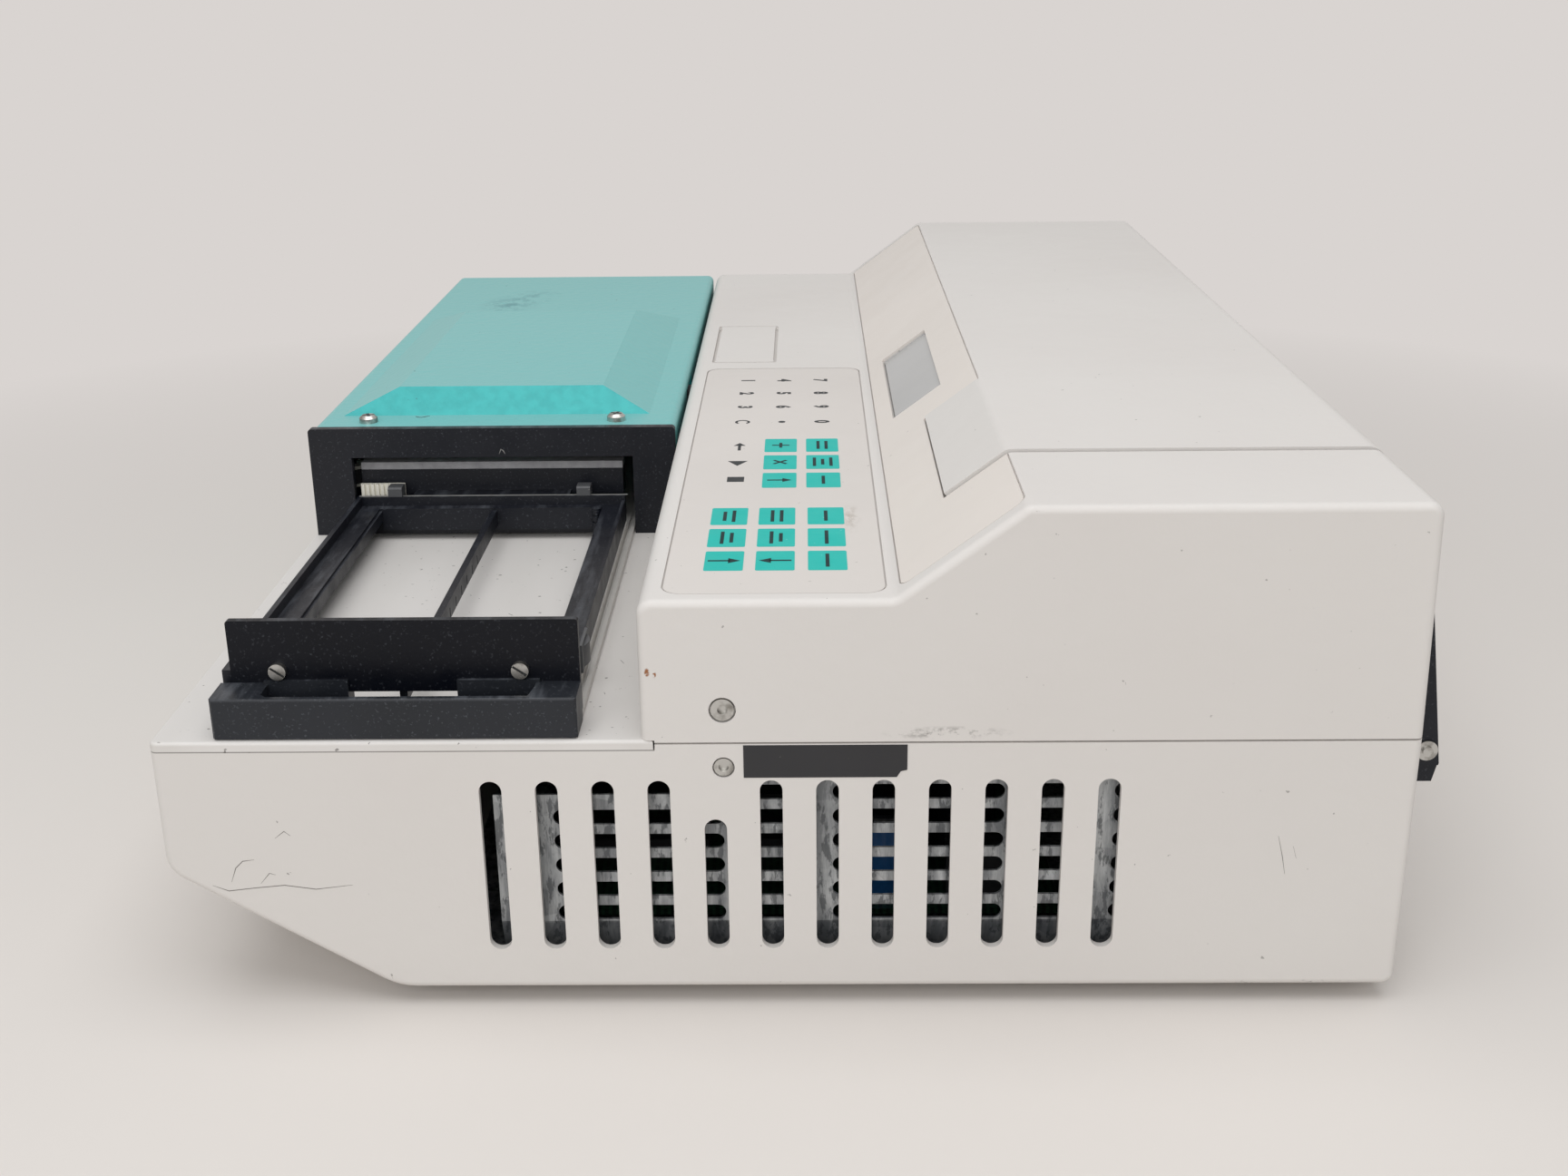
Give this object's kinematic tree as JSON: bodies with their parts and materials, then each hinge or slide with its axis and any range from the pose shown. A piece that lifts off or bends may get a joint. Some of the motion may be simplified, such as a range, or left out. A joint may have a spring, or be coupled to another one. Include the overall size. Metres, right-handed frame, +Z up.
{
  "type": "microplate reader",
  "caption": "Bench microplate reader with a plate carriage sliding on a deck under a painted hood, membrane keypad, sloped display, printer lid and side vents",
  "frame": {"origin": "middle of the whole instrument's footprint, on the bench under its feet", "axes": "+X from the hood's closed end towards the right side, where the plate carriage comes out; +Y from the front towards the rear; +Z up"},
  "size_m": [0.4342, 0.3256, 0.1372],
  "materials": {
    "housing_grey": "structural foam moulding, warm grey, fine grain",
    "foot_rubber": "moulded rubber",
    "deck_grey": "smooth moulding, warm grey",
    "screw_steel": "plated steel",
    "keypad_film": "printed polyester film",
    "fascia_film": "printed polyester film",
    "display_glass": "grey reflective liquid crystal glass",
    "teal_paint": "textured teal paint",
    "black_plastic": "textured black moulding",
    "galvanised_steel": "mottled zinc",
    "circuit_board": "green solder mask",
    "chip_plastic": "moulded packages",
    "blue_sleeve": "shrunk blue sleeve",
    "transformer_steel": "varnished laminations",
    "panel_paint": "light grey paint",
    "bare_aluminium": "machined",
    "lamp_glass": "clear bulb and coated reflector",
    "lens_glass": "polished",
    "filter_glass": "coated glass",
    "motor_steel": "drawn steel can",
    "black_rubber": "matt rubber",
    "black_anodised": "black anodised",
    "pale_plastic": "off-white nylon",
    "grey_foam": "soft grey foam",
    "clip_plastic": "grey moulding",
    "rail_plastic": "pale grey sliding plastic",
    "printer_plastic": "grey moulding",
    "printer_paper": "thermal paper",
    "lid_grey": "warm grey moulding"
  },
  "bodies": {
    "housing": {"lower_housing": "housing_grey", "rubber_feet": "foot_rubber", "deck_plate": "deck_grey", "upper_housing": "housing_grey", "housing_screws": "screw_steel", "keypad_overlay": "keypad_film", "display_fascia": "fascia_film", "lcd_module": "display_glass", "hood_cover": "teal_paint", "hood_bezel": "black_plastic", "hood_screws": "screw_steel", "vent_screen": "galvanised_steel", "chassis_plate": "galvanised_steel", "main_board": "circuit_board", "board_chips": "chip_plastic", "filter_capacitors": "blue_sleeve", "transformer": "transformer_steel", "rear_panel": "panel_paint", "mains_inlet": "black_plastic", "switch_frame": "black_plastic", "serial_port": "screw_steel", "fan_frame": "black_plastic", "optics_bench": "bare_aluminium", "lamp_house": "bare_aluminium", "halogen_lamp": "lamp_glass", "condenser_lens": "lens_glass", "wheel_motor": "motor_steel", "fibre_bundle": "black_rubber", "measuring_head": "black_anodised", "detector_board": "circuit_board", "drive_motor": "motor_steel", "drive_belt": "black_rubber", "guide_rod": "screw_steel", "deck_pillars": "black_plastic", "printer_bay": "printer_plastic", "lid_pins": "screw_steel", "printer_mechanism": "black_plastic", "flap_pins": "screw_steel"},
    "carriage": {"plate_carrier": "black_plastic", "carrier_front_plate": "black_anodised", "front_plate_screws": "screw_steel", "handle_bar": "black_plastic", "light_shield": "black_plastic", "shield_foam": "grey_foam", "belt_clips": "clip_plastic", "belt_end": "pale_plastic", "slide_bushes": "pale_plastic", "slide_rail": "rail_plastic", "guide_shoe": "clip_plastic", "locating_pin": "black_plastic"},
    "drive_pulley": {"drive_pulley": "pale_plastic"},
    "idler_pulley": {"idler_pulley": "pale_plastic"},
    "filter_wheel": {"filter_wheel": "bare_aluminium", "wheel_filters": "filter_glass"},
    "fan_rotor": {"fan_rotor": "black_plastic"},
    "power_rocker": {"power_rocker": "black_plastic"},
    "printer_lid": {"printer_lid": "lid_grey"},
    "platen_roller": {"platen_roller": "black_rubber"},
    "paper_roll": {"paper_roll": "printer_paper"},
    "rear_flap": {"rear_flap": "black_plastic"}
  },
  "joints": [
    {"name": "carriage_slide", "type": "slide", "parent": "housing", "child": "carriage", "axis": [-1, 0, 0], "range_m": [0, 0.1475]},
    {"name": "drive_pulley_turn", "type": "hinge", "parent": "housing", "child": "drive_pulley", "pos_m": [-0.199, -0.1524, 0.09275], "axis": [0, 0, 1], "continuous": true},
    {"name": "idler_pulley_turn", "type": "hinge", "parent": "housing", "child": "idler_pulley", "pos_m": [0.038, -0.1524, 0.09275], "axis": [0, 0, 1], "continuous": true},
    {"name": "filter_wheel_turn", "type": "hinge", "parent": "housing", "child": "filter_wheel", "pos_m": [0.119, 0.1122, 0.057], "axis": [1, 0, 0], "continuous": true},
    {"name": "fan_turn", "type": "hinge", "parent": "housing", "child": "fan_rotor", "pos_m": [-0.055, 0.14, 0.039], "axis": [0, 1, 0], "continuous": true},
    {"name": "switch_rock", "type": "hinge", "parent": "housing", "child": "power_rocker", "pos_m": [-0.125, 0.1483, 0.041], "axis": [1, 0, 0], "range_deg": [0, 14]},
    {"name": "printer_lid_hinge", "type": "hinge", "parent": "housing", "child": "printer_lid", "pos_m": [0.1304, 0.1474, 0.1315], "axis": [-1, 0, 0], "range_deg": [0, 85]},
    {"name": "platen_turn", "type": "hinge", "parent": "housing", "child": "platen_roller", "pos_m": [0.1304, 0.0562, 0.122], "axis": [1, 0, 0], "continuous": true},
    {"name": "paper_roll_turn", "type": "hinge", "parent": "housing", "child": "paper_roll", "pos_m": [0.1304, 0.1012, 0.117], "axis": [1, 0, 0], "continuous": true},
    {"name": "rear_flap_hinge", "type": "hinge", "parent": "housing", "child": "rear_flap", "pos_m": [0.155, 0.1592, 0.067], "axis": [-1, 0, 0], "range_deg": [0, 90]}
  ],
  "couplings": [
    {"joint": "drive_pulley_turn", "follows": "carriage_slide", "rad_per_m": 208.33},
    {"joint": "idler_pulley_turn", "follows": "carriage_slide", "rad_per_m": 208.33}
  ]
}
